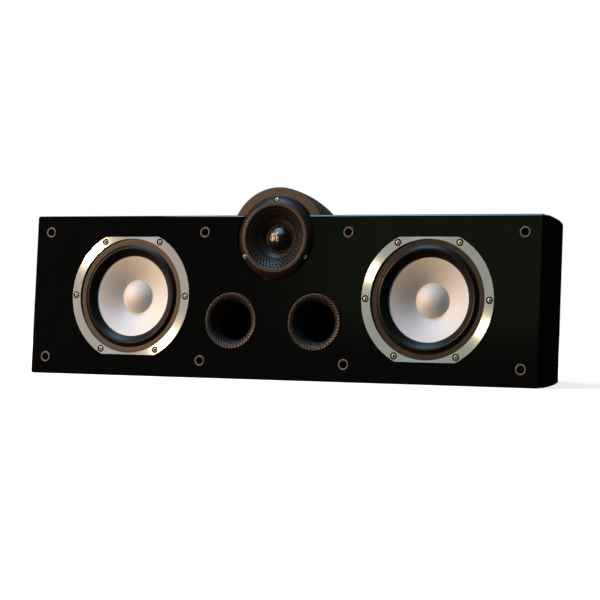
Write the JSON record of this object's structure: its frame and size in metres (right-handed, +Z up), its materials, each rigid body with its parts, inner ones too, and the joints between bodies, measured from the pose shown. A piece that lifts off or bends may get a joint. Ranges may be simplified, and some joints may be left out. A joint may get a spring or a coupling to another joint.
{
  "type": "center channel speaker",
  "caption": "Wide gloss black center channel speaker with bowed sides, silver-coned woofers, round front ports and a horn tweeter in a bullet pod sunk into the top.",
  "frame": {"origin": "centre of the base: mid width, half way between the front and rear edges of the underside", "axes": "+Z up, front to -Y, left side (seen from the front) to -X"},
  "size_m": [0.6072, 0.2918, 0.2108],
  "materials": {
    "black_lacquer": "fibreboard under polished black lacquer",
    "raw_board": "bare fibreboard",
    "trim_aluminium": "turned satin",
    "screw_steel": "zinc plated",
    "screw_black": "black oxide",
    "basket_black": "black painted casting",
    "surround_rubber": "matte",
    "cone_silver": "satin silver",
    "coil_copper": "enamelled copper wire",
    "spider_cloth": "stiffened cloth",
    "motor_steel": "zinc plated",
    "ferrite": "sintered, dull",
    "port_plastic": "moulded black",
    "pod_plastic": "satin dark grey",
    "horn_plastic": "satin black",
    "guard_mesh": "black wire mesh",
    "dome_cloth": "coated cloth",
    "socket_rubber": "matte",
    "cup_plastic": "moulded black",
    "post_brass": "gold plated",
    "knob_red": "clear-coated red",
    "knob_black": "gloss black",
    "board_laminate": "brown circuit laminate",
    "capacitor_film": "yellow film wrap",
    "resistor_cement": "white cement"
  },
  "bodies": {
    "cabinet": {"black_post_stud": "post_brass", "bottom_panel": "black_lacquer", "crossover_board": "board_laminate", "crossover_capacitors": "capacitor_film", "crossover_chokes": "coil_copper", "crossover_resistors": "resistor_cement", "crossover_screws": "screw_steel", "crossover_standoffs": "cup_plastic", "front_baffle": "black_lacquer", "grille_sockets": "socket_rubber", "left_basket": "basket_black", "left_brace": "raw_board", "left_front_plate": "motor_steel", "left_magnet": "ferrite", "left_port": "port_plastic", "left_side_panel": "black_lacquer", "left_spider": "spider_cloth", "left_surround": "surround_rubber", "left_trim_ring": "trim_aluminium", "left_woofer_screws": "screw_steel", "left_yoke": "motor_steel", "pod_screws": "screw_steel", "post_nuts": "post_brass", "rear_panel": "black_lacquer", "red_post_stud": "post_brass", "right_basket": "basket_black", "right_brace": "raw_board", "right_front_plate": "motor_steel", "right_magnet": "ferrite", "right_port": "port_plastic", "right_side_panel": "black_lacquer", "right_spider": "spider_cloth", "right_surround": "surround_rubber", "right_trim_ring": "trim_aluminium", "right_woofer_screws": "screw_steel", "right_yoke": "motor_steel", "terminal_cup": "cup_plastic", "terminal_screws": "screw_black", "top_panel": "black_lacquer", "tweeter_faceplate": "horn_plastic", "tweeter_front_plate": "motor_steel", "tweeter_guard": "guard_mesh", "tweeter_magnet": "ferrite", "tweeter_pod": "pod_plastic", "tweeter_screws": "screw_steel", "tweeter_surround": "spider_cloth", "tweeter_yoke": "motor_steel"},
    "left_diaphragm": {"left_cone": "cone_silver", "left_dust_cap": "cone_silver", "left_voice_coil": "coil_copper"},
    "right_diaphragm": {"right_cone": "cone_silver", "right_dust_cap": "cone_silver", "right_voice_coil": "coil_copper"},
    "tweeter_diaphragm": {"tweeter_dome": "dome_cloth", "tweeter_voice_coil": "coil_copper"},
    "red_clamp": {"red_post_insert": "post_brass"},
    "red_knob": {"red_post_knob": "knob_red"},
    "black_clamp": {"black_post_insert": "post_brass"},
    "black_knob": {"black_post_knob": "knob_black"}
  },
  "joints": [
    {"name": "left_cone_travel", "type": "slide", "parent": "cabinet", "child": "left_diaphragm", "axis": [0, -0.9982, 0.0593], "range_m": [-0.004, 0.004], "stiffness_N_per_m": 1200, "deforming": ["left_surround", "left_spider"]},
    {"name": "right_cone_travel", "type": "slide", "parent": "cabinet", "child": "right_diaphragm", "axis": [0, -0.9982, 0.0593], "range_m": [-0.004, 0.004], "stiffness_N_per_m": 1200, "deforming": ["right_surround", "right_spider"]},
    {"name": "tweeter_dome_travel", "type": "slide", "parent": "cabinet", "child": "tweeter_diaphragm", "axis": [0, -0.9982, 0.0593], "range_m": [-0.0004, 0.0004], "stiffness_N_per_m": 4000, "deforming": ["tweeter_surround"]},
    {"name": "red_clamp_travel", "type": "slide", "parent": "cabinet", "child": "red_clamp", "axis": [0, 0.9982, -0.0593], "range_m": [0, 0.005]},
    {"name": "red_knob_turn", "type": "hinge", "parent": "red_clamp", "child": "red_knob", "pos_m": [-0.015, 0.11668, 0.07952], "axis": [0, 0.9982, -0.0593], "range_deg": [0, 1802]},
    {"name": "black_clamp_travel", "type": "slide", "parent": "cabinet", "child": "black_clamp", "axis": [0, 0.9982, -0.0593], "range_m": [0, 0.005]},
    {"name": "black_knob_turn", "type": "hinge", "parent": "black_clamp", "child": "black_knob", "pos_m": [0.015, 0.11668, 0.07952], "axis": [0, 0.9982, -0.0593], "range_deg": [0, 1802]}
  ],
  "couplings": [
    {"joint": "red_knob_turn", "follows": "red_clamp_travel", "rad_per_m": 6283.2},
    {"joint": "black_knob_turn", "follows": "black_clamp_travel", "rad_per_m": 6283.2}
  ]
}
